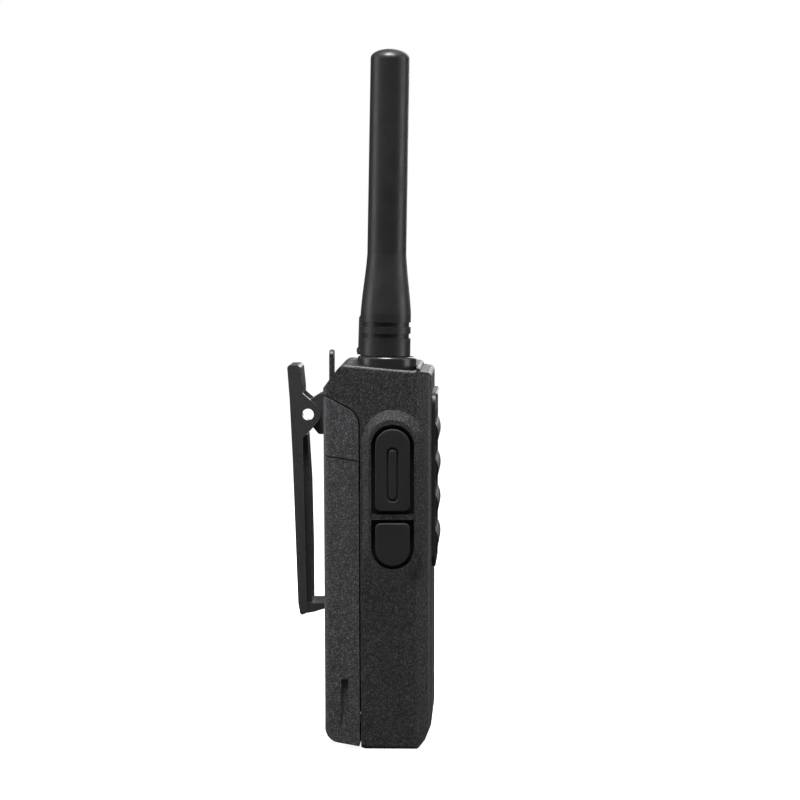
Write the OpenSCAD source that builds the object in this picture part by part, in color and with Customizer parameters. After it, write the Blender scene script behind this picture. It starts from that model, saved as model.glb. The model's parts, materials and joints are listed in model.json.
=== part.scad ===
// Handheld two-way radio with a sliding rear pack, a sprung belt clip and a stub antenna.
// +Z is up, the speaker face looks along -Y, the belt clip along +Y, the talk key along -X.
// The origin is the middle of the base, on the surface that the radio stands on.

/* [Body] */
// Width of the body, key side to cover side
body_w = 54; // [52:0.5:60]
// Depth of the body, speaker face to back of the pack
body_d = 32.8; // [32.4:0.2:34]
// Height of the body's rim at its middle
body_h = 116; // [115:0.25:118]
// Fall of the deck towards the speaker face, in degrees
deck_fall = 5; // [4:0.1:7]
// Wall thickness of the plastic shells
wall = 1.8; // [1.6:0.1:2.2]
// Gap that shows along the seam between body and pack
seam_gap = 0.4; // [0.3:0.05:0.6]

/* [Keys] */
// Travel of the talk key
talk_travel = 0.8; // [0.4:0.1:1]
// Width of both side keys
key_w = 10.6; // [9:0.1:11]
// Height of the talk key
talk_h = 25; // [20:0.1:25.2]
// Height of the function key
function_h = 13.2; // [11:0.1:13.6]

/* [Antenna] */
// Length of the antenna above the body's rim
antenna_len = 96.6; // [70:0.1:130]
// Diameter of the antenna's upper part
antenna_d = 11.9; // [10:0.1:12.5]
// Diameter of the antenna's foot
antenna_foot_d = 15.4; // [14:0.1:16]
// Lean of the antenna towards the speaker face, in degrees
antenna_lean = 1; // [0:0.1:2]

/* [Knobs] */
// Diameter of the volume knob
volume_d = 14; // [13:0.1:15]
// Diameter of the channel knob
channel_d = 12.4; // [11:0.1:12.6]
// Height of both knobs
knob_h = 11.8; // [9:0.1:13]

/* [Belt clip] */
// Width of the belt clip
clip_w = 20; // [18:0.5:22]
// Radius of the hollow hinge tube
tube_r = 3.1; // [2.9:0.05:3.1]
// Running clearance of the hinge tube in its bracket
tube_clear = 0.05; // [0.02:0.01:0.1]

/* [Hidden] */
$fn = 48;
arc_steps = 8;          // straight pieces in one rounded corner
eps = 0.02;
half_w = body_w / 2;
back_y = 16.2;
front_y = back_y - body_d;
deck_rise = tan(deck_fall);
seam_y = 5.15;          // plane where the body ends and the pack begins
seam_corner_z = 102.1;  // where the seam turns from upright to sloping
seam_slope = 28.9;      // slope of the seam over the pack, in degrees
split_back_z = 89.5;    // joint between the two pack shells, at the back
split_front_z = 87.7;   // the same joint, at the seam
cover_h = 1.2;          // how far the top cover stands above the rim
key_y = -4.85;          // centre line of the key zone
key_back = -half_w + 0.9; // inner face of both keys
key_recess_w = 13;
key_recess_low = 55.1;
key_recess_high = 98.9;
talk_low = 72.65;
function_low = 55.9;
pivot_y = 21.75;         // clip hinge axis
pivot_z = 100.85;
ear_r = 3.8;
ear_t = 2.6;            // thickness of each ear of the clip
clip_half = clip_w / 2;
antenna_x = -15;
antenna_y = -2.1;
collar_shift = -0.6;     // the collar sits a little towards the speaker face
volume_x = 16.4;
channel_x = 1.1;
knob_y = 0.4;
speaker_z = 82;
speaker_r = 18;
board_y = -1.2;
board_t = 1;
chassis_t = 1.6;
slide_rail_x = 20;
rail_half = 0.9;
screw_x = 20.5;          // case screws, two above and two below
screw_rows = [9, 94];
screw_r = 0.85;
chassis_back = seam_y - 0.5;
chassis_front = chassis_back - chassis_t;
divider_low = 70.1;      // bar between the two keys
divider_high = 71.7;
bezel_rise = 0.95;       // how far the surround of the keys stands out
switch_rows = [62, 84.3];
shaft_r = 3;             // bore for the control shafts in the knobs
shaft_hole_r = 3.6;      // hole for the control bushings in the deck
knob_low = 119;          // underside of both knobs
lamp_x = 8.8;            // status lamp between the knobs and the speaker face
lamp_y = -9.4;
lamp_r = 1.15;
microphone_x = -14;
microphone_z = 30;
jack_y = -4.2;           // middle of the accessory sockets
jack_low = 68;
jack_high = 86.6;
cover_hinge_x = half_w - 0.1;
cover_hinge_z = 90.4;
knuckle_half = 3.2;
strap_x = 14;            // middle of the wrist strap plate
strap_y = 14.9;
strap_w = 10;
strap_t = 1.3;
strap_top = 119.7;
strap_hole_r = 2;
latch_half = 8;
latch_spring_x = 4.5;
latch_spring_z = 0.85;
latch_hole_r = 0.45;
contact_x = 5;           // pitch of the pack's spring contacts
contact_z = 92.3;
charge_x = 4.5;
charge_z = 13;
charge_r = 2.2;
bracket_screw_x = 5.6;
bracket_screw_z = 101.2;
bars_z = 78.9;           // middle of the bars on the speaker face
bar_pitch = 10.9;        // spacing of those bars

function deck_z(y) = body_h + y * deck_rise;

// Rounds each corner [u, v, radius] of an outline with an arc of straight pieces.
function unit(a) = a / norm(a);
function corner(a, p, b, r, steps) =
    r == 0 ? [p] :
    let (u = unit(a - p), v = unit(b - p),
         half = acos(max(-1, min(1, u * v))) / 2,
         c = p + unit(u + v) * r / sin(half),
         s = p + u * r / tan(half) - c, e = p + v * r / tan(half) - c,
         a0 = atan2(s.y, s.x), turn = (atan2(e.y, e.x) - a0 + 540) % 360 - 180)
    [for (i = [0:steps]) c + r * [cos(a0 + turn * i / steps), sin(a0 + turn * i / steps)]];
function flat2(p) = [p.x, p.y];
function rounded(pts, steps = arc_steps) =
    let (n = len(pts))
    [for (i = [0:n - 1])
        each corner(flat2(pts[(i + n - 1) % n]), flat2(pts[i]), flat2(pts[(i + 1) % n]),
                    pts[i].z, steps)];

module outline(pts, steps = arc_steps) polygon(rounded(pts, steps));

// Drawings in (Y, Z), (X, Z) and (X, Y) pulled along the third axis.
module along_x(x0, x1) translate([x0, 0, 0]) rotate([90, 0, 90]) linear_extrude(x1 - x0) children();
module along_y(y0, y1) translate([0, y1, 0]) rotate([90, 0, 0]) linear_extrude(y1 - y0) children();
module along_z(z0, z1) translate([0, 0, z0]) linear_extrude(z1 - z0) children();
module rod_x(x0, x1, y, z, r) translate([x0, y, z]) rotate([0, 90, 0]) cylinder(h = x1 - x0, r = r);
module rod_y(y0, y1, x, z, r) translate([x, y0, z]) rotate([-90, 0, 0]) cylinder(h = y1 - y0, r = r);
module rod_z(z0, z1, x, y, r) translate([x, y, z0]) cylinder(h = z1 - z0, r = r);
module box(low, high) translate(low) cube(high - low);

module soft_rect(u0, u1, v0, v1, r, steps = arc_steps)
    outline([[u0, v0, r], [u1, v0, r], [u1, v1, r], [u0, v1, r]], steps);

// Upright slot outline: round at the chosen end, with corner radius r at the other.
module slot(cu, w, low, high, r_low, r_high)
    outline([[cu - w / 2, low, r_low], [cu + w / 2, low, r_low],
             [cu + w / 2, high, r_high], [cu - w / 2, high, r_high]], 12);

// ---- Outer shape shared by the body and the pack ----

// Seam line between body and pack, moved towards the pack by s.
function seam_foot(s) = [seam_y - 0.2 + s, 0];
function seam_corner(s) = [seam_y + 0.15 + s, seam_corner_z - s * (1 - sin(seam_slope)) / cos(seam_slope)];
function seam_end(s, y) = [y, seam_corner(s).y + (y - seam_corner(s).x) * tan(seam_slope)];

module body_side_outline(inset = 0) {
    s = -seam_gap / 2;
    outline([
        [seam_foot(s).x, inset + 0.7, 0.3],
        [seam_y - 1.7, inset, 0.4],
        [front_y + 4.2, inset, 1.2],
        [front_y + 2, inset + 2.6, 3],
        [front_y + inset, 7.4, 4],
        [front_y + inset, deck_z(front_y) - inset, 1.6],
        [10.9, deck_z(10.9) - inset, 3.2],
        [back_y + 0.1 - inset, 109.9, 1.6],
        [back_y - inset, seam_end(s, back_y).y + inset, 0.4],
        [seam_corner(s).x, seam_corner(s).y + inset, 6],
    ]);
}

module pack_side_outline() {
    s = seam_gap / 2;
    outline([
        [seam_foot(s).x, 0.8, 0.3],
        [seam_corner(s).x, seam_corner(s).y, 6],
        [seam_end(s, back_y).x, seam_end(s, back_y).y, 0.8],
        [back_y - 0.5, 2.7, 4.6],
    ]);
}

module plan_outline(inset = 0) {
    x = half_w - inset;
    outline([
        [-x, back_y + 0.6 - inset, 3], [-x, front_y + 5.2, 4], [3 - x, front_y + inset, 2.4],
        [x - 3, front_y + inset, 2.4], [x, front_y + 5.2, 4], [x, back_y + 0.6 - inset, 3],
    ]);
}

// Upright outline seen from the front, which rounds the lower side edges.
module base_rounding()
    along_y(-3 * body_d, 3 * body_d)
        outline([[-half_w, 0, 1.2], [half_w, 0, 1.2], [half_w, 200, 0], [-half_w, 200, 0]]);

module top_rounding() {
    rotate([deck_fall, 0, 0]) along_y(-3 * body_d, 3 * body_d)
        outline([[-half_w, -half_w, 0], [half_w, -half_w, 0],
                 [half_w, body_h, 1.3], [-half_w, body_h, 1.3]]);
}

// ---- Body ----

module bezel_slice(y, w, low, high, x)
    along_x(x, x + 0.1) slot(y, w, low, high, w / 2 - 0.1, w / 2 - 0.1);

// The surround of the keys, a sloping collar that stands out from the side.
module key_bezel() hull() {
    bezel_slice(key_y - 0.05, 18.4, 49.5, 103.4, -half_w);
    bezel_slice(key_y + 0.1, 14.4, 54, 100.4, -half_w - bezel_rise);
}

module key_openings() {
    // The recess is open to the inside on both sides of the divider bar.
    difference() {
        along_x(-half_w - 2, -half_w + wall + 1)
            slot(key_y, key_recess_w, key_recess_low, key_recess_high, 6.2, 6.2);
        box([-half_w - bezel_rise + 0.3, key_y - key_recess_w, divider_low],
            [-half_w + wall + 2, key_y + key_recess_w, divider_high]);
    }
}

module front_housing() color([0.16, 0.16, 0.17]) {
    difference() {
        union() {
            intersection() {
                along_x(-half_w, half_w) body_side_outline();
                along_z(0, 130) plan_outline();
                top_rounding();
                base_rounding();
            }
            key_bezel();
        }
        // inside
        intersection() {
            along_x(-half_w + wall, half_w - wall)
                outline([[12, wall, 0], [front_y + 4.8, wall, 2], [front_y + wall, 13, 2],
                         [front_y + wall, deck_z(front_y) - 3.4, 2], [4.9, deck_z(0) - 3, 2],
                         [4.9, 99.6, 0], [12, 99.6, 0]]);
            along_z(0, 130) plan_outline(wall);
        }
        key_openings();
        front_openings();
        deck_openings();
        jack_recess();
        latch_pocket();
        for (x = [-1, 1], z = screw_rows) rod_y(-3, 8, x * screw_x, z, screw_r + 0.05);
        strap_slot();
        // a shallow gutter frames the top cover
        deck_frame(1.7, 0.5, 3);
    }
    screw_posts();
}

// Plate outline on the sloping deck, set in by inset and sunk by depth into the rim.
module deck_frame(inset, depth, r) {
    rotate([deck_fall, 0, 0]) translate([0, 0, body_h - depth])
        linear_extrude(4)
            soft_rect(inset - half_w, half_w - inset, front_y + inset + 0.8, 11 - inset, r);
}

module front_openings() {
    // the speaker's window, the microphone hole and the panel's seat
    rod_y(front_y - 2, front_y + 4, 0, speaker_z, speaker_r - 1);
    rod_y(front_y - 2, front_y + 4, microphone_x, microphone_z, 0.8);
}

module deck_openings() {
    rod_z(104, 125, channel_x, knob_y, shaft_hole_r);
    rod_z(104, 125, volume_x, knob_y, shaft_hole_r);
    antenna_frame() {
        cylinder(h = 40, r = 5.2, center = true);
        translate([0, collar_shift, -1.7]) cylinder(h = 9, r = 9.1);
    }
    rod_z(108, 125, lamp_x, lamp_y, lamp_r + 0.15);
}

module jack_recess() {
    // seat of the accessory cover on the +X side, with the socket's window in its floor
    box([half_w - 1.3, jack_y - 6, 64.8], [half_w + 2, jack_y + 6, 92.4]);
    box([half_w - 4, jack_y - 3.8, jack_low], [half_w + 2, jack_y + 3.8, jack_high]);
}

module latch_pocket() box([-latch_half - 0.3, -1.4, -1], [latch_half + 0.3, 7, 1.6]);

module strap_slot()
    box([strap_x - strap_w / 2 - 0.2, strap_y - eps, 100],
        [strap_x + strap_w / 2 + 0.2, strap_y + 3.1, 130]);

module screw_posts() {
    for (x = [-1, 1], z = screw_rows)
        difference() {
            rod_y(front_y + wall, chassis_front - 0.05, x * screw_x, z, 2.3);
            rod_y(front_y + 1, 8, x * screw_x, z, screw_r + 0.05);
        }
}

module top_cover() color([0.2, 0.2, 0.21]) {
    side_gap = 2.1;
    cover_half = half_w - side_gap;
    difference() {
        intersection() {
            deck_frame(side_gap, 0.4, 2.6);
            union() {
                intersection() {
                    rotate([deck_fall, 0, 0]) along_y(-60, 60)
                        outline([[-cover_half, 90, 0], [cover_half, 90, 0],
                                 [cover_half, body_h + cover_h, 0.9],
                                 [-cover_half, body_h + cover_h, 0.9]]);
                    along_x(-half_w, half_w)
                        outline([[-13.1, 100, 0], [8.9, 100, 0], [8.9, deck_z(8.9) + cover_h, 1],
                                 [-13.1, deck_z(-13.1) + cover_h, 1]]);
                }
                for (k = [[channel_x, channel_d], [volume_x, volume_d]])
                    rod_z(110, 118.6, k[0], knob_y, k[1] / 2 + 1.1);
            }
        }
        rod_z(104, 125, channel_x, knob_y, shaft_hole_r);
        rod_z(104, 125, volume_x, knob_y, shaft_hole_r);
        antenna_frame() translate([0, collar_shift, 0]) cylinder(h = 40, r = 9.3, center = true);
        rod_z(108, 125, lamp_x, lamp_y, lamp_r + 0.15);
        // open to the side of the antenna collar
        box([-2 * half_w, antenna_y + collar_shift - 9.3, 100],
            [antenna_x, antenna_y + collar_shift + 9.3, 130]);
    }
}

module light_pipe() color([0.75, 0.8, 0.78, 0.6]) {
    rod_z(110.7, deck_z(lamp_y) + cover_h + 0.25, lamp_x, lamp_y, lamp_r);
    rod_z(109.5, 110.8, lamp_x, lamp_y, lamp_r + 0.45);
}

module grille_panel() color([0.14, 0.14, 0.15]) {
    face = front_y - 1.1;
    panel_half = 21.6;
    panel_low = 55;
    panel_high = 108.2;
    slot_pitch = 11;
    slot_half_w = 4.6;
    slot_half_h = 1.2;
    difference() {
        union() {
            along_y(face, front_y - eps) soft_rect(-panel_half, panel_half, panel_low, panel_high, 4);
            for (i = [0:3])
                translate([0, face, bars_z + (1.5 - i) * bar_pitch]) rotate([0, 90, 0])
                    round_bar(38);
            // a fine lip finishes the panel's upper edge
            along_x(-17, 17)
                polygon([[face + eps, panel_high - 1.8], [face - 0.55, panel_high - 0.7],
                         [face + eps, panel_high - 0.3]]);
        }
        for (row = [-2:2], x = [-slot_pitch, 0, slot_pitch])
            along_y(face - 2, front_y + 1)
                translate([x, bars_z + row * bar_pitch])
                    soft_rect(-slot_half_w, slot_half_w, -slot_half_h, slot_half_h, slot_half_h - 0.1);
    }
}

// A low round bar, a shallow slice of a larger rod.
module round_bar(len) {
    rise = 0.9;
    half = 3.6;
    r = (half * half + rise * rise) / (2 * rise);
    difference() {
        translate([0, r - rise, 0]) cylinder(h = len, r = r, center = true);
        translate([-2 * r, eps, -len]) cube([4 * r, 4 * r, 2 * len]);
    }
}

module speaker_mesh() color([0.1, 0.1, 0.1])
    rod_y(front_y + 0.2, front_y + 0.6, 0, speaker_z, speaker_r - 1.2);

module speaker() color([0.3, 0.3, 0.32]) {
    translate([0, front_y + wall + 0.2, speaker_z]) rotate([-90, 0, 0])
        rotate_extrude()
            polygon([[0, 1.2], [6, 1.2], [13.5, 2.4], [15.5, 0.8], [16, 0], [speaker_r, 0],
                     [speaker_r, 2.2], [12, 5.2], [12, 9.6], [0, 9.6]]);
}

module microphone() color([0.7, 0.62, 0.4])
    rod_y(front_y + wall + 0.2, front_y + wall + 2.2, microphone_x, microphone_z, 2.9);

module main_board() color([0.05, 0.3, 0.16])
    along_y(board_y, board_y + board_t)
        difference() {
            soft_rect(-19.5, 19.5, 12, 91, 1.2);
            for (z = [17, 86]) translate([0, z]) circle(r = 1.1);
        }

module shield_cans() color([0.72, 0.73, 0.74]) {
    low_y = board_y + board_t + 0.05;
    high_y = low_y + 2.55;
    box([-17, low_y, 58], [2, high_y, 88]);
    box([4, low_y, 58], [17, high_y, 88]);
    box([-17, low_y, 20], [17, high_y, 54]);
}

module chassis() color([0.55, 0.56, 0.58]) {
    pad_half = 17;
    difference() {
        union() {
            along_y(chassis_front, chassis_back)
                soft_rect(-half_w + wall + 0.3, half_w - wall - 0.3, 2.6, 98.6, 2);
            for (x = [-1, 1])
                box([x * slide_rail_x - rail_half, chassis_back - 0.1, 20],
                    [x * slide_rail_x + rail_half, seam_y + 1.2, 78]);
            // a pad closes the seam's gap behind the pack
            along_x(-pad_half, pad_half)
                polygon([[chassis_back - 0.1, 4.5], [seam_y - 0.07, 4.5],
                         [seam_y + 0.24, 90], [chassis_back - 0.1, 90]]);
        }
        for (x = [-1, 1], z = screw_rows) rod_y(0, 9, x * screw_x, z, 1.1);
        box([-8.6, 0, -1], [8.6, 9, 4]);
        box([-7.4, 0, 90.2], [7.4, 9, 94.4]);
    }
}

module seal_ring() color([0.5, 0.12, 0.1])
    along_y(seam_y - 2.9, seam_y - 2.2)
        difference() {
            soft_rect(-24.4, 24.4, 4.2, 98.3, 2);
            soft_rect(-23.3, 23.3, 5.3, 97.2, 1.4);
        }

module contact_pins() color([0.85, 0.7, 0.35])
    for (x = [-contact_x, 0, contact_x]) {
        rod_y(seam_y - 3.4, seam_y + 0.1, x, contact_z, 0.8);
        rod_y(seam_y - 4, seam_y - 3.3, x, contact_z, 1.5);
    }

module housing_screws() color([0.6, 0.6, 0.62])
    for (x = [-1, 1], z = screw_rows)
        difference() {
            union() {
                rod_y(seam_y - 6, seam_y - 0.4, x * screw_x, z, screw_r);
                rod_y(chassis_back + eps, seam_y, x * screw_x, z, 1.9);
            }
            rod_y(seam_y - 0.3, seam_y + 1, x * screw_x, z, 0.8, $fn = 6);
        }

module side_board() color([0.1, 0.26, 0.2])
    box([-22, -9.6, 56], [-21.2, 0.4, 90]);

module side_switches() color([0.75, 0.75, 0.76])
    for (z = switch_rows) {
        box([-23.6, key_y - 2.2, z - 2.2], [-22 - eps, key_y + 2.2, z + 2.2]);
        rod_x(-24.1, -23.5, key_y, z, 1.1);
    }

module key_seal() color([0.07, 0.07, 0.07]) {
    intersection() {
        along_x(-24.9, -24.3)
            slot(key_y, key_recess_w + 1, key_recess_low - 0.7, key_recess_high + 0.7, 6, 6);
        along_z(0, 130) plan_outline(wall + 0.15);
    }
}

// ---- Keys ----

bar_w = 2.5;             // raised bar on the talk key
bar_low = 76.15;
bar_high = 91.4;
bar_groove = 0.45;

module talk_key() color([0.11, 0.11, 0.12])
    difference() {
        along_x(-half_w - 1.15, key_back)
            slot(key_y, key_w, talk_low, talk_low + talk_h, 1.8, key_w / 2 - 0.1);
        // groove round the raised bar
        difference() {
            along_x(-half_w - 2, -half_w - 0.25)
                slot(key_y, bar_w + 2 * bar_groove, bar_low - bar_groove, bar_high + bar_groove, 1.6, 1.6);
            along_x(-half_w - 3, half_w) slot(key_y, bar_w, bar_low, bar_high, 1.15, 1.15);
        }
    }

module talk_plunger() color([0.35, 0.35, 0.36])
    rod_x(key_back + eps, key_back + 0.3, key_y, switch_rows[1], 2);

module function_key() color([0.09, 0.09, 0.1])
    along_x(-half_w - 1.05, key_back)
        slot(key_y, key_w, function_low, function_low + function_h, key_w / 2 - 0.1, 1.8);

module function_plunger() color([0.35, 0.35, 0.36])
    rod_x(key_back + eps, key_back + 0.3, key_y, switch_rows[0], 2);

// ---- Antenna ----

module antenna_frame() translate([antenna_x, antenna_y, body_h]) rotate([antenna_lean, 0, 0]) children();

module antenna_collar() color([0.3, 0.3, 0.31])
    antenna_frame() translate([0, collar_shift, 0]) rotate_extrude()
        polygon([[6, -1.6], [9, -1.6], [9, 2.6], [8.7, 3], [8, 3.15], [6, 3.15]]);

flare_low = 16.2;
flare_high = 34.4;
flare_steps = 14;
dome_h = 2.9;
function ease(t) = 0.65 * t + 0.175 * (1 - cos(180 * t));
function flare_r(t) = (antenna_foot_d + (antenna_d - antenna_foot_d) * ease(t)) / 2;

module antenna_sheath() color([0.13, 0.13, 0.13])
    antenna_frame() difference() {
        rotate_extrude() polygon(concat(
            [[0, 3.22], [7.5, 3.22], [antenna_foot_d / 2, 3.4]],
            ring_groove(8.7), ring_groove(12.15),
            [for (i = [0:flare_steps]) let (t = i / flare_steps)
                [flare_r(t), flare_low + (flare_high - flare_low) * t]],
            [for (i = [0:12]) let (a = i * 7.5)
                [antenna_d / 2 * cos(a), antenna_len - dome_h + dome_h * sin(a)]]));
        translate([0, 0, 3]) cylinder(h = 9, r = 4.6);
        translate([0, 0, 3]) cylinder(h = antenna_len - 12, r = 3.2);
    }
function ring_groove(z) = [[antenna_foot_d / 2, z], [antenna_foot_d / 2 - 0.5, z + 0.05],
                           [antenna_foot_d / 2 - 0.5, z + 1.4], [antenna_foot_d / 2, z + 1.45]];

module antenna_ferrule() color([0.8, 0.68, 0.4])
    antenna_frame() difference() {
        translate([0, 0, 3.45]) cylinder(h = 8.15, r = 4.5);
        translate([0, 0, 0]) cylinder(h = 8.5, r = 3.25);
    }

module antenna_element() color([0.72, 0.45, 0.25])
    antenna_frame() {
        translate([0, 0, 12.2]) cylinder(h = 72, r = 1.5);
        for (i = [0:11]) translate([0, 0, 20 + i * 5]) rotate_extrude() translate([2, 0]) circle(r = 0.6);
    }

module antenna_connector() color([0.83, 0.7, 0.4])
    antenna_frame() {
        translate([0, 0, -9]) cylinder(h = 17, r = 3.15);
        translate([0, 0, -9]) cylinder(h = 3, r = 4.8);
    }

// ---- Knobs ----

module knob(x, d, flutes) {
    r = d / 2;
    difference() {
        translate([x, knob_y, knob_low]) rotate_extrude()
            polygon([[0, 0], [r + 0.5, 0], [r + 0.5, 1], [r, 1.6], [r - 0.25, knob_h - 1.1],
                     [r - 0.6, knob_h - 0.35], [r - 1.4, knob_h], [0, knob_h]]);
        for (i = [0:flutes - 1])
            translate([x, knob_y, 0]) rotate([0, 0, (i + 0.5) * 360 / flutes])
                translate([r + 0.25, 0, knob_low + 2]) cylinder(h = 20, r = 0.75);
        rod_z(knob_low - 1, knob_low + 8, x, knob_y, shaft_r);
        // pocket of the pointer
        box([x - 0.6, knob_y - r + 1.6, knob_low + knob_h - 0.5], [x + 0.6, knob_y - 1.4, 140]);
    }
}

module knob_pointer(x, d)
    box([x - 0.5, knob_y - d / 2 + 1.7, knob_low + knob_h - 0.48],
        [x + 0.5, knob_y - 1.5, knob_low + knob_h + 0.05]);

module knob_shaft(x) {
    difference() {
        rod_z(111.5, knob_low + 7.8, x, knob_y, shaft_r - 0.05);
        box([x - 4, knob_y + 1.9, knob_low + 1], [x + 4, knob_y + 4, knob_low + 9]);
    }
}

module knob_control(x, low) {
    difference() {
        union() {
            box([x - 5.6, knob_y - 5.6, low], [x + 5.6, knob_y + 3.2, 110.4]);
            rod_z(110.3, 116.4, x, knob_y, shaft_hole_r - 0.1);
        }
        rod_z(111.4, 120, x, knob_y, shaft_r);
    }
}

module volume_knob() color([0.12, 0.12, 0.13]) knob(volume_x, volume_d, 20);
module channel_knob() color([0.12, 0.12, 0.13]) knob(channel_x, channel_d, 16);
module volume_pointer() color([0.85, 0.85, 0.85]) knob_pointer(volume_x, volume_d);
module channel_pointer() color([0.85, 0.85, 0.85]) knob_pointer(channel_x, channel_d);
module volume_shaft() color([0.7, 0.71, 0.73]) knob_shaft(volume_x);
module channel_shaft() color([0.7, 0.71, 0.73]) knob_shaft(channel_x);
module volume_control() color([0.5, 0.5, 0.52]) knob_control(volume_x, 103.2);
module channel_selector() color([0.5, 0.5, 0.52]) knob_control(channel_x, 102);

// ---- Accessory cover ----

module jack_cover() color([0.12, 0.12, 0.13])
    difference() {
        union() {
            along_x(half_w - 1.1, half_w + 0.9) soft_rect(jack_y - 5.7, jack_y + 5.7, 65.1, 89.2, 2.4);
            box([half_w - 1.1, jack_y - knuckle_half, 86],
                [cover_hinge_x, jack_y + knuckle_half, cover_hinge_z]);
            rod_y(jack_y - knuckle_half, jack_y + knuckle_half, cover_hinge_x, cover_hinge_z, 1);
            box([half_w + 0.6, jack_y - 2.8, 66], [half_w + 1.5, jack_y + 2.8, 67]);
        }
        rod_y(jack_y - 8, jack_y + 8, cover_hinge_x, cover_hinge_z, 0.55);
    }

module cover_pin() color([0.7, 0.7, 0.72])
    rod_y(jack_y - 6 + eps, jack_y + 6 - eps, cover_hinge_x, cover_hinge_z, 0.5);

module jack_socket() color([0.08, 0.08, 0.08])
    difference() {
        box([half_w - 12, jack_y - 3.4, jack_low + 0.4], [half_w - 1.9, board_y - 0.2, jack_high - 0.4]);
        rod_x(half_w - 11, half_w, jack_y, jack_high - 3.8, 1.8);
        rod_x(half_w - 11, half_w, jack_y, jack_low + 3.8, 1.3);
    }

// ---- Lanyard plate and latch ----

module lanyard_plate() color([0.1, 0.1, 0.11])
    difference() {
        along_y(strap_y, strap_y + strap_t)
            soft_rect(strap_x - strap_w / 2, strap_x + strap_w / 2, 108.4, strap_top, 1.6);
        rod_y(strap_y - 4, strap_y + 5, strap_x, strap_top - 4.3, strap_hole_r);
    }

module battery_latch() color([0.13, 0.13, 0.14])
    difference() {
        union() {
            box([-latch_half, 0.2, 0.25], [latch_half, 4.9, 1.4]);
            for (i = [0:3]) box([-6, 0.8 + i, 0.02], [6, 1.3 + i, 0.3]);
        }
        for (x = [-1, 1]) rod_y(-1, 1.4, x * latch_spring_x, latch_spring_z, latch_hole_r);
    }

module latch_springs() color([0.75, 0.75, 0.76])
    for (x = [-latch_spring_x, latch_spring_x], i = [0:2])
        translate([x, i * 0.45 - 1, latch_spring_z]) rotate([90, 0, 0]) rotate_extrude()
            translate([0.26, 0]) circle(r = 0.12);

// ---- Pack ----

module pack_solid() intersection() {
    along_x(-half_w, half_w) pack_side_outline();
    along_z(-1, 130) plan_outline();
    base_rounding();
}

module split_halfspace(low, gap) {
    // everything under (low) or over the joint between the two pack shells
    slope = (split_back_z - split_front_z) / (back_y - seam_y);
    far = 40;
    z0 = split_front_z - (far + seam_y) * slope;
    z1 = split_front_z + (far - seam_y) * slope;
    along_x(-far, far)
        polygon(low ? [[-far, z0 - gap], [far, z1 - gap], [far, -far], [-far, -far]]
                    : [[-far, z0 + gap], [far, z1 + gap], [far, 5 * far], [-far, 5 * far]]);
}

module rail_grooves()
    for (x = [-1, 1])
        box([x * slide_rail_x - rail_half - 0.4, seam_y - 1, 19.5],
            [x * slide_rail_x + rail_half + 0.4, seam_y + 1.6, 100]);

module battery_case() color([0.24, 0.24, 0.25])
    difference() {
        intersection() {
            pack_solid();
            split_halfspace(true, 0.14);
        }
        along_x(-half_w + wall, half_w - wall)
            outline([[seam_y + 2.6, 3.6, 1], [seam_y + 2.6, 86, 0],
                     [back_y - 2.1, 86, 0], [back_y - 2.5, 6, 2.4]]);
        rail_grooves();
        // guide grooves for a charger, one on each side
        for (x = [-1, 1]) translate([x * half_w, 0, 0]) along_x(-1.2, 1.2)
            outline([[11.4, 6.1, 0], [8.7, 15, 3], [8.7, 21.4, 0.3], [10.8, 21.4, 0.3], [10.8, 10.4, 4]]);
        for (x = [-charge_x, charge_x]) rod_y(back_y - 1.2, back_y + 3, x, charge_z, charge_r);
        box([-latch_half - 0.3, 4, -1], [latch_half + 0.3, 6.6, 2]);
        // blank field for a label
        along_y(back_y - 0.75, back_y + 2) soft_rect(-17, 17, 19.5, 36.5, 1.5);
    }

module battery_top() color([0.26, 0.26, 0.27])
    difference() {
        intersection() {
            pack_solid();
            split_halfspace(false, 0.14);
        }
        along_x(-half_w + wall + 1, half_w - wall - 1)
            outline([[seam_y + 2.6, 80, 0], [seam_y + 2.6, 98.4, 2],
                     [back_y - 2.2, 98.4, 2], [back_y - 2.2, 80, 0]]);
        rail_grooves();
        box([-7, seam_y - 1, 90.6], [7, seam_y + 1.4, 94]);
        for (x = [-1, 1]) rod_y(back_y - 4, back_y + 3, x * bracket_screw_x, bracket_screw_z, 0.95);
    }

module battery_cell() color([0.2, 0.35, 0.55])
    along_x(-22.5, 22.5) soft_rect(seam_y + 3, back_y - 2.9, 10, 85.4, 2.4);

module battery_board() color([0.05, 0.3, 0.16])
    box([-18, seam_y + 3.2, 88.6], [18, seam_y + 4.2, 97]);

module battery_contacts() color([0.85, 0.7, 0.35])
    for (x = [-contact_x, 0, contact_x])
        box([x - 1.4, seam_y + 0.9, contact_z - 1.4], [x + 1.4, seam_y + 1.4 - eps, contact_z + 1.4]);

module charging_contacts() color([0.85, 0.72, 0.4])
    for (x = [-charge_x, charge_x]) rod_y(back_y - 1.2 + eps, back_y - 0.7, x, charge_z, charge_r - 0.05);

// ---- Belt clip ----

bracket_half = clip_half - ear_t - 0.35;

module clip_bracket() color([0.17, 0.17, 0.18])
    difference() {
        union() {
            along_x(-bracket_half, bracket_half)
                outline([[16.27, 94.6, 0.2], [18.6, 94.6, 1], [20.8, 97.2, 0], [21.1, 105.3, 0.5],
                         [18.3, 107, 1.2], [16.27, 107.2, 0.4]]);
            rod_x(-bracket_half, bracket_half, pivot_y, pivot_z, ear_r);
        }
        rod_x(-20, 20, pivot_y, pivot_z, tube_r + tube_clear);
        // room for the spring's turns
        box([-4.4, 17.3, 96.4], [4.4, 28, 105.2]);
        for (x = [-1, 1]) rod_y(15, 30, x * bracket_screw_x, bracket_screw_z, 0.95);
    }

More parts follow.
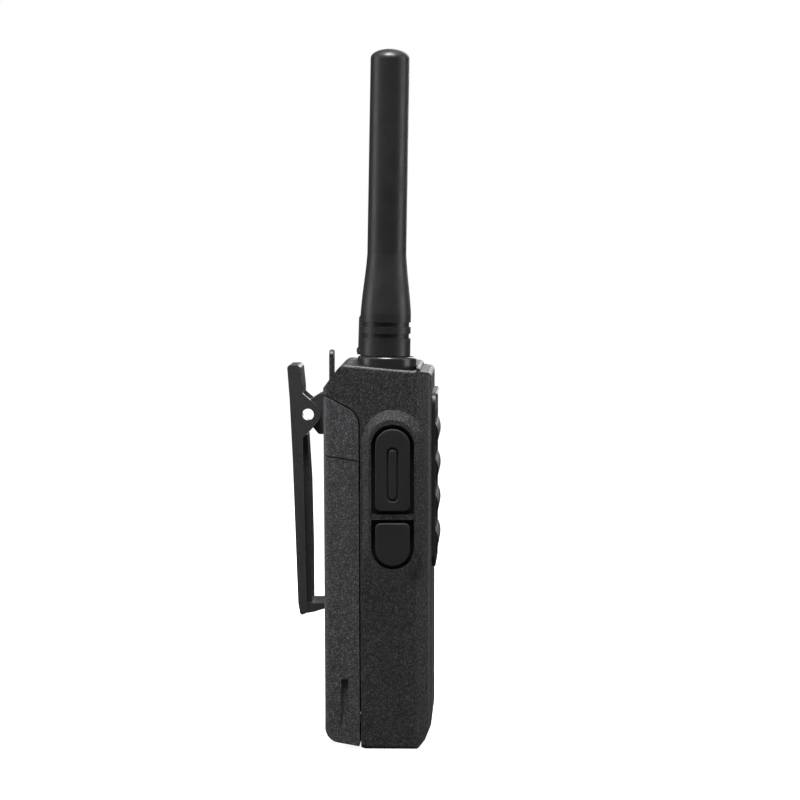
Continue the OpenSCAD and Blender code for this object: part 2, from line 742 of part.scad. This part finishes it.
module clip_screws() color([0.6, 0.6, 0.62])
    for (x = [-1, 1]) rod_y(back_y - 3.6, back_y + 1, x * bracket_screw_x, bracket_screw_z, 0.9);

module clip_spring() color([0.75, 0.75, 0.77]) {
    for (i = [0:7]) translate([-3.2 + i * 0.85, pivot_y, pivot_z]) rotate([0, 90, 0])
        rotate_extrude() translate([tube_r + 0.65, 0]) circle(r = 0.45);
}

module hinge_tube() color([0.7, 0.7, 0.72])
    difference() {
        rod_x(-clip_half + 1.1, clip_half - 0.1, pivot_y, pivot_z, tube_r);
        rod_x(-clip_half, clip_half + 1, pivot_y, pivot_z, tube_r - 0.3);
    }

module ear_outline()
    union() {
        translate([pivot_y, pivot_z]) circle(r = ear_r);
        polygon([[24.4, 108.2], [pivot_y - 2.69, pivot_z + 2.69], [pivot_y - 2.69, pivot_z - 2.69],
                 [pivot_y - 1, 96.2], [25.3, 91.8], [26.1, 100]]);
    }

module belt_clip() color([0.19, 0.19, 0.2])
    difference() {
        union() {
            // the plate with its pad
            along_x(-clip_half, clip_half)
                outline([[28.2, 116, 0.9], [24.2, 116, 1.2], [23.5, 109.2, 2],
                         [23.2, 86.5, 0], [22.1, 43.4, 0], [21.9, 39.6, 0.4],
                         [24.2, 38.5, 0.8], [24.9, 42.6, 2], [25.5, 57.5, 0],
                         [26.5, 87, 0], [27.4, 105.4, 0]]);
            // stiffening rib inside
            along_x(-clip_half + 3.2, clip_half - 3.2)
                outline([[24.8, 95.6, 0], [22.2, 94.6, 0.8], [21.3, 80, 0],
                         [20.8, 60, 0], [20.7, 42.4, 0], [23.8, 42.4, 0]]);
            // foot
            along_x(-clip_half + 0.4, clip_half - 0.4)
                outline([[23.8, 42.5, 0], [16.3, 42.5, 0.5], [16.3, 40.9, 0.4], [19.8, 39.8, 1],
                         [21.9, 39.4, 0], [23.8, 39.4, 0]]);
            for (x = [-clip_half, clip_half - ear_t]) along_x(x, x + ear_t) ear_outline();
        }
        // pocket round the bracket's knuckle
        rod_x(-bracket_half - 0.35, bracket_half + 0.35, pivot_y, pivot_z, ear_r + 0.45);
        rod_x(-clip_half - 1, 0, pivot_y, pivot_z, 1.8);
        rod_x(-clip_half + 1.1, clip_half + 1, pivot_y, pivot_z, tube_r + 0.01);
        // grip lines on the pad
        for (i = [0:2]) rod_x(-clip_half - 1, clip_half + 1, 28.4, 108.4 + i * 2, 0.45);
    }

front_housing();
top_cover();
grille_panel();
speaker_mesh();
speaker();
microphone();
main_board();
shield_cans();
chassis();
seal_ring();
contact_pins();
housing_screws();
side_board();
side_switches();
key_seal();
light_pipe();
antenna_collar();
antenna_connector();
volume_control();
channel_selector();
jack_socket();
cover_pin();
lanyard_plate();
latch_springs();
talk_key();
talk_plunger();
function_key();
function_plunger();
antenna_sheath();
antenna_ferrule();
antenna_element();
volume_knob();
volume_pointer();
volume_shaft();
channel_knob();
channel_pointer();
channel_shaft();
jack_cover();
battery_latch();
battery_case();
battery_top();
battery_cell();
battery_board();
battery_contacts();
charging_contacts();
clip_bracket();
clip_screws();
clip_spring();
hinge_tube();
belt_clip();
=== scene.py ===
import json
import math

import bmesh
import bpy
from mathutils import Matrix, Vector


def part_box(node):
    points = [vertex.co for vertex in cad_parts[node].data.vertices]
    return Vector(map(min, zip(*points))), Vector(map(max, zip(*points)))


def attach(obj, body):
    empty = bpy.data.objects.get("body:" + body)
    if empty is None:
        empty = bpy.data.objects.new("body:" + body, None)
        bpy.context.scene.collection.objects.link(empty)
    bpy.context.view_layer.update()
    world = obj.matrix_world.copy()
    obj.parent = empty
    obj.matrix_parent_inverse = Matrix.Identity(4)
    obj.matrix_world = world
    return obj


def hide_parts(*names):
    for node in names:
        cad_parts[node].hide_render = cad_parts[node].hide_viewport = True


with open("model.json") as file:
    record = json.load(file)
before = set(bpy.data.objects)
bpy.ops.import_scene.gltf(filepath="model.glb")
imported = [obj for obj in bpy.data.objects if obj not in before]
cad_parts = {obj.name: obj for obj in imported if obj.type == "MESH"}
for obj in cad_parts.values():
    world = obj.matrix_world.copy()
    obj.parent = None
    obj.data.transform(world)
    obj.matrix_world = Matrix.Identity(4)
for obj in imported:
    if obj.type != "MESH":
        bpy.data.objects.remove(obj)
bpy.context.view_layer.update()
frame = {"nodes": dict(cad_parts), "record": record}

MM = 0.001
WELD = 0.002 * MM        # corners closer than this are one corner
FLAT = 0.4               # degrees between faces that count as one flat face
BEVEL_FROM = 20          # degrees at an edge from which it is rounded
CREASE_FROM = 17         # degrees at an edge from which its shading breaks
SHADE_WEIGHT = 80        # how strongly large faces keep their own shading

EYE_GAP = 1.0            # from the key side to the lens
EYE = (-37 * MM, 166 * MM)      # the lens, in Y and Z
AIM = (-7.08 * MM, 106.4 * MM)  # the middle of the picture, in Y and Z
SEEN_WIDTH = 241.7 * MM  # what the picture spans at the key side

FILL = 0.1               # light from the white room
FRONT_POWER = 3.4        # the lamps, in watts
BACK_POWER = 3.0
TOP_POWER = 12.0
KEY_POWER = 0.35
FAR_POWER = 2.2

FLOOR_HALF = 3.0
FLOOR_DROP = 0.02 * MM   # keeps the floor clear of the base
FLOOR_GLOW = 0.9

NODES = frame["nodes"]
BODY_OF = {n: body for body, names in frame["record"]["behaviour"]["bodies"].items() for n in names}
SLOT_OF = {s["node"]: s["material_slot"] for s in frame["record"]["subparts"]}
KEY_SIDE = -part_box("front_housing")[1].x


# ---- materials ----

class Shader:
    """A small helper round one material's node tree."""

    def __init__(self, name, colour, roughness, **sockets):
        self.material = bpy.data.materials.new(name)
        self.material.use_nodes = True
        self.tree = self.material.node_tree
        self.shader = self.tree.nodes["Principled BSDF"]
        self.base = (*colour, 1.0)
        self.shader.inputs["Base Color"].default_value = self.base
        self.shader.inputs["Roughness"].default_value = roughness
        for socket, value in sockets.items():
            self.shader.inputs[socket.replace("_", " ")].default_value = value
        self.place = self.node("ShaderNodeTexCoord").outputs["Object"]
        self.bumps = None

    def node(self, kind, **settings):
        made = self.tree.nodes.new(kind)
        for key, value in settings.items():
            setattr(made, key, value)
        return made

    def link(self, source, target):
        self.tree.links.new(source, target)

    def noise(self, size, detail=2.0, roughness=0.5, stretch=(1, 1, 1)):
        """Noise whose features are about size metres across."""
        mapping = self.node("ShaderNodeMapping")
        mapping.inputs["Scale"].default_value = [s / size for s in stretch]
        self.link(self.place, mapping.inputs["Vector"])
        made = self.node("ShaderNodeTexNoise")
        made.inputs["Scale"].default_value = 1.0
        made.inputs["Detail"].default_value = detail
        made.inputs["Roughness"].default_value = roughness
        self.link(mapping.outputs["Vector"], made.inputs["Vector"])
        return made.outputs["Fac"]

    def levels(self, value, low, high, to_low=0.0, to_high=1.0):
        made = self.node("ShaderNodeMapRange")
        ends = {"From Min": low, "From Max": high, "To Min": to_low, "To Max": to_high}
        for key, number in ends.items():
            made.inputs[key].default_value = number
        self.link(value, made.inputs["Value"])
        return made.outputs["Result"]

    def maths(self, operation, a, b):
        made = self.node("ShaderNodeMath", operation=operation)
        for socket, value in zip(made.inputs, (a, b)):
            if isinstance(value, (int, float)):
                socket.default_value = value
            else:
                self.link(value, socket)
        return made.outputs["Value"]

    def tint(self, factor, colour, blend="MIX"):
        """Mixes colour over what the base colour is so far, where factor says."""
        made = self.node("ShaderNodeMix", data_type="RGBA", blend_type=blend)
        self.link(factor, made.inputs["Factor"])
        socket = self.shader.inputs["Base Color"]
        if socket.is_linked:
            self.link(socket.links[0].from_socket, made.inputs[6])
        else:
            made.inputs[6].default_value = self.base
        made.inputs[7].default_value = (*colour, 1.0)
        self.link(made.outputs[2], socket)

    def rough(self, value):
        self.link(value, self.shader.inputs["Roughness"])

    def bump(self, height, distance, strength=1.0):
        made = self.node("ShaderNodeBump")
        made.inputs["Strength"].default_value = strength
        made.inputs["Distance"].default_value = distance
        self.link(height, made.inputs["Height"])
        if self.bumps:
            self.link(self.bumps, made.inputs["Normal"])
        self.bumps = made.outputs["Normal"]
        self.link(self.bumps, self.shader.inputs["Normal"])

    def edge_wear_and_highlight(self, colour, share):
        """Softly lightens the rounded edges: partly polish from handling, partly a painted highlight
        along the edges.
        """
        attribute = self.node("ShaderNodeAttribute", attribute_name="edge_wear_and_highlight")
        patches = self.levels(self.noise(3 * MM, 3.0), 0.35, 0.75, 0.3, 1.0)
        worn_and_highlit = self.maths("MULTIPLY", attribute.outputs["Fac"], patches)
        self.tint(self.maths("MULTIPLY", worn_and_highlit, share), colour)


def darker(colour, share):
    return [c * share for c in colour]


def spark_plastic(name, colour, light, roughness=0.42, grain=0.34 * MM, depth=0.1 * MM, wear_and_highlight=0.5):
    """Black plastic with the fine dimpled grain of a spark-eroded mould."""
    s = Shader(name, colour, roughness, Specular_IOR_Level=0.5)
    grains = s.noise(grain, 2.0, 0.6)
    # lighter grains: partly the grain's own tone, partly painted glints on the grain
    s.tint(s.levels(grains, 0.5, 0.75, 0.0, 0.9), light)
    s.tint(s.levels(grains, 0.48, 0.34, 0.0, 0.7), darker(colour, 0.4))
    s.tint(s.levels(s.noise(40 * MM, 3.0), 0.42, 0.7, 0.0, 0.15), darker(colour, 0.7))
    s.rough(s.levels(grains, 0.3, 0.7, roughness - 0.1, roughness + 0.14))
    s.bump(grains, depth, 1.0)
    s.edge_wear_and_highlight(light, wear_and_highlight)
    return s.material


def smooth_plastic(name, colour, light, roughness=0.42, grain=0.2 * MM, depth=0.008 * MM, wear_and_highlight=0.4):
    """Smooth plastic or rubber with a faint grain and uneven sheen."""
    s = Shader(name, colour, roughness, Specular_IOR_Level=0.45)
    s.tint(s.levels(s.noise(grain, 2.0), 0.45, 0.75, 0.0, 0.35), light)
    s.tint(s.levels(s.noise(14 * MM, 4.0), 0.45, 0.7, 0.0, 0.3), darker(colour, 0.75))
    s.rough(s.levels(s.noise(5 * MM, 4.0), 0.3, 0.7, roughness - 0.06, roughness + 0.08))
    s.bump(s.noise(grain, 2.0), depth, 0.7)
    s.edge_wear_and_highlight(light, wear_and_highlight)
    return s.material


def metal(name, colour, roughness, grain=0.25 * MM, stretch=(1, 1, 1), depth=0.006 * MM):
    """Bare metal with fine marks, drawn out along one axis where stretch says."""
    s = Shader(name, colour, roughness, Metallic=1.0)
    marks = s.noise(grain, 3.0, 0.6, stretch)
    s.tint(s.levels(marks, 0.4, 0.8, 0.0, 0.5), darker(colour, 0.72))
    s.rough(s.levels(marks, 0.3, 0.7, roughness - 0.06, roughness + 0.12))
    s.bump(marks, depth, 0.6)
    return s.material


def circuit(name):
    """Lacquered circuit board with a lattice of tracks."""
    s = Shader(name, (0.012, 0.075, 0.035), 0.38, Coat_Weight=0.4)
    tracks = s.node("ShaderNodeTexBrick")
    tracks.inputs["Scale"].default_value = 1 / (1.6 * MM)
    tracks.inputs["Mortar Size"].default_value = 0.12
    s.link(s.place, tracks.inputs["Vector"])
    s.tint(s.levels(tracks.outputs["Fac"], 0.3, 0.7, 0.0, 0.7), (0.03, 0.16, 0.07))
    s.bump(tracks.outputs["Fac"], 0.03 * MM, 0.5)
    return s.material


def cloth(name):
    """Woven acoustic mesh."""
    s = Shader(name, (0.012, 0.012, 0.013), 0.85, Sheen_Weight=0.2)
    weave = s.node("ShaderNodeTexChecker")
    weave.inputs["Scale"].default_value = 1 / (0.35 * MM)
    s.link(s.place, weave.inputs["Vector"])
    s.tint(weave.outputs["Fac"], (0.03, 0.03, 0.032))
    s.bump(weave.outputs["Fac"], 0.05 * MM, 0.8)
    return s.material


def lens(name):
    """Milky clear plastic of the status lamp."""
    s = Shader(name, (0.55, 0.62, 0.6), 0.12, Coat_Weight=0.6, Transmission_Weight=0.5)
    s.tint(s.levels(s.noise(0.8 * MM, 2.0), 0.4, 0.7, 0.0, 0.4), (0.7, 0.75, 0.74))
    return s.material


def wrap(name):
    """Creased shrink film round the battery cell."""
    s = Shader(name, (0.03, 0.12, 0.3), 0.28, Coat_Weight=0.5)
    creases = s.noise(4 * MM, 3.0, 0.6, (1, 1, 0.2))
    s.tint(s.levels(creases, 0.5, 0.75, 0.0, 0.5), (0.06, 0.2, 0.42))
    s.bump(creases, 0.06 * MM, 0.4)
    return s.material


# the third colour of each plastic lightens its grain and its rounded edges; on the edges, and on
# spark-eroded grain, it is partly a painted highlight
MATERIALS = {
    "body_plastic": spark_plastic("body_plastic", (0.021, 0.021, 0.0215), (0.16, 0.16, 0.167)),
    "pack_plastic": spark_plastic("pack_plastic", (0.046, 0.046, 0.0485), (0.27, 0.27, 0.282)),
    "deck_plastic": spark_plastic("deck_plastic", (0.03, 0.03, 0.031), (0.1, 0.1, 0.104),
                                  grain=0.7 * MM),
    "panel_plastic": smooth_plastic("panel_plastic", (0.02, 0.02, 0.021), (0.06, 0.06, 0.062), 0.4),
    "clip_plastic": smooth_plastic("clip_plastic", (0.044, 0.044, 0.0463), (0.12, 0.12, 0.125),
                                   0.3, 0.3 * MM),
    "key_rubber": smooth_plastic("key_rubber", (0.019, 0.019, 0.0208), (0.036, 0.036, 0.039),
                                 0.46, 0.16 * MM),
    "knob_rubber": smooth_plastic("knob_rubber", (0.024, 0.024, 0.026), (0.06, 0.06, 0.063), 0.45),
    "antenna_rubber": smooth_plastic("antenna_rubber", (0.016, 0.016, 0.017), (0.05, 0.05, 0.052),
                                     0.4, 0.3 * MM, 0.02 * MM),
    "seal_rubber": smooth_plastic("seal_rubber", (0.012, 0.012, 0.013), (0.03, 0.03, 0.031), 0.6),
    "collar": smooth_plastic("collar", (0.02, 0.02, 0.021), (0.04, 0.04, 0.042), 0.24, 0.5 * MM),
    "pointer": smooth_plastic("pointer", (0.7, 0.7, 0.7), (0.8, 0.8, 0.8), 0.45),
    "silicone": smooth_plastic("silicone", (0.3, 0.05, 0.035), (0.4, 0.09, 0.06), 0.5),
    "mesh_cloth": cloth("mesh_cloth"),
    "speaker_metal": metal("speaker_metal", (0.2, 0.2, 0.21), 0.4),
    "board": circuit("board"),
    "tin": metal("tin", (0.62, 0.62, 0.64), 0.3, 0.4 * MM, (1, 1, 0.05)),
    "cast_metal": metal("cast_metal", (0.5, 0.51, 0.53), 0.45, 0.5 * MM),
    "gold": metal("gold", (0.83, 0.6, 0.25), 0.24),
    "steel": metal("steel", (0.6, 0.6, 0.61), 0.28, 0.3 * MM, (0.1, 1, 1)),
    "copper": metal("copper", (0.78, 0.4, 0.24), 0.26),
    "lens": lens("lens"),
    "cell_wrap": wrap("cell_wrap"),
}


# ---- pieces ----

def clean_mesh(node):
    """A welded copy of a CAD node's mesh, with its flat faces joined up again."""
    bm = bmesh.new()
    bm.from_mesh(NODES[node].data)
    bmesh.ops.remove_doubles(bm, verts=bm.verts, dist=WELD)
    bmesh.ops.dissolve_degenerate(bm, edges=bm.edges, dist=WELD)
    bmesh.ops.dissolve_limit(bm, angle_limit=math.radians(FLAT), verts=bm.verts, edges=bm.edges)
    return bm


def soften(node, width):
    """Shows a CAD node with its sharp edges rounded by width, which only takes material away."""
    bm = clean_mesh(node)
    # the rounded faces get the edge tint: handling wear and a painted highlight along the edges
    wear_and_highlight = bm.faces.layers.float.new("edge_wear_and_highlight")
    limit = math.radians(BEVEL_FROM)
    edges = [e for e in bm.edges
             if len(e.link_faces) == 2 and e.calc_face_angle() > limit and e.is_convex]
    made = bmesh.ops.bevel(bm, geom=edges, offset=width, offset_type="OFFSET", segments=2,
                           profile=0.5, affect="EDGES", clamp_overlap=True, miter_outer="SHARP")
    for face in made["faces"]:
        face[wear_and_highlight] = 1.0
    for face in bm.faces:
        face.smooth = True
    for edge in bm.edges:
        if len(edge.link_faces) == 2 and edge.calc_face_angle(0.0) > math.radians(CREASE_FROM):
            edge.smooth = False
    mesh = bpy.data.meshes.new(node + "_shell")
    bm.to_mesh(mesh)
    bm.free()
    piece = bpy.data.objects.new(node + "_shell", mesh)
    bpy.context.scene.collection.objects.link(piece)
    mesh.materials.append(MATERIALS[SLOT_OF[node]])
    weighted = piece.modifiers.new("flat faces stay flat", "WEIGHTED_NORMAL")
    weighted.keep_sharp = True
    weighted.weight = SHADE_WEIGHT
    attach(piece, BODY_OF[node])
    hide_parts(node)
    return piece


# ---- camera: looks at the key side, a little from above and from the front ----

def place_camera():
    eye = Vector((KEY_SIDE - EYE_GAP, *EYE))
    aim = Vector((KEY_SIDE, *AIM))
    data = bpy.data.cameras.new("camera")
    camera = bpy.data.objects.new("camera", data)
    bpy.context.scene.collection.objects.link(camera)
    camera.location = eye
    camera.rotation_mode = "QUATERNION"
    camera.rotation_quaternion = (aim - eye).to_track_quat("-Z", "Y")
    data.sensor_width = 36
    data.lens = data.sensor_width * (aim - eye).length / SEEN_WIDTH
    data.clip_start, data.clip_end = 0.05, 20
    bpy.context.scene.camera = camera


# ---- studio ----

def area_light(name, place, aim, size, power):
    """A soft rectangular lamp at place that points at aim; sizes in metres."""
    data = bpy.data.lights.new(name, "AREA")
    data.shape = "RECTANGLE"
    data.size, data.size_y = size
    data.energy = power
    light = bpy.data.objects.new(name, data)
    light.location = place
    light.rotation_mode = "QUATERNION"
    light.rotation_quaternion = (Vector(aim) - Vector(place)).to_track_quat("-Z", "Y")
    bpy.context.scene.collection.objects.link(light)


def floor():
    """The pale floor, which glows in the picture but lights nothing."""
    bm = bmesh.new()
    bmesh.ops.create_grid(bm, x_segments=24, y_segments=24, size=FLOOR_HALF)
    mesh = bpy.data.meshes.new("floor")
    bm.to_mesh(mesh)
    bm.free()
    piece = bpy.data.objects.new("floor", mesh)
    piece.location.z = -FLOOR_DROP
    piece.visible_diffuse = False
    piece.visible_glossy = False
    bpy.context.scene.collection.objects.link(piece)
    s = Shader("pale_floor", (0.93, 0.93, 0.93), 0.8)
    s.tint(s.levels(s.noise(60 * MM, 2.0), 0.3, 0.7, 0.0, 0.2), (0.9, 0.9, 0.9))
    s.shader.inputs["Emission Color"].default_value = (1, 1, 1, 1)
    s.shader.inputs["Emission Strength"].default_value = FLOOR_GLOW
    mesh.materials.append(s.material)


def studio():
    """A white room that shows as white but lights the object only a little, with five soft lights."""
    world = bpy.data.worlds.new("white room")
    world.use_nodes = True
    nodes, links = world.node_tree.nodes, world.node_tree.links
    background = nodes["Background"]
    background.inputs["Color"].default_value = (1, 1, 1, 1)
    seen = nodes.new("ShaderNodeLightPath").outputs["Is Camera Ray"]
    level = nodes.new("ShaderNodeMapRange")
    level.inputs["To Min"].default_value = FILL
    level.inputs["To Max"].default_value = 1.0
    links.new(seen, level.inputs["Value"])
    links.new(level.outputs["Result"], background.inputs["Strength"])
    bpy.context.scene.world = world
    bpy.context.scene.view_settings.view_transform = "Standard"
    aim = (0, 0, 100 * MM)
    area_light("front side", (-0.05, -0.9, 0.25), aim, (0.4, 0.9), FRONT_POWER)
    area_light("back side", (-0.1, 0.9, 0.25), aim, (0.4, 0.9), BACK_POWER)
    area_light("top", (-0.17, 0.02, 0.8), (0, 0, 120 * MM), (0.3, 0.4), TOP_POWER)
    area_light("key side", (-0.5, 0.5, 0.5), (0, 0, 120 * MM), (0.35, 0.35), KEY_POWER)
    area_light("far side", (0.8, -0.25, 0.4), aim, (0.5, 0.5), FAR_POWER)


place_camera()

EDGE_RADII = {           # rounding of the edges of the pieces in view
    "front_housing": 0.35 * MM,
    "top_cover": 0.3 * MM,
    "grille_panel": 0.22 * MM,
    "battery_case": 0.3 * MM,
    "battery_top": 0.3 * MM,
    "belt_clip": 0.35 * MM,
    "clip_bracket": 0.25 * MM,
    "talk_key": 0.35 * MM,
    "function_key": 0.4 * MM,
    "jack_cover": 0.35 * MM,
    "lanyard_plate": 0.25 * MM,
    "battery_latch": 0.12 * MM,
    "volume_knob": 0.15 * MM,
    "channel_knob": 0.15 * MM,
    "antenna_collar": 0.2 * MM,
}
for name, width in EDGE_RADII.items():
    soften(name, width)

for name, node in NODES.items():
    if not node.hide_render:
        node.data.materials.clear()
        node.data.materials.append(MATERIALS[SLOT_OF[name]])

floor()
studio()
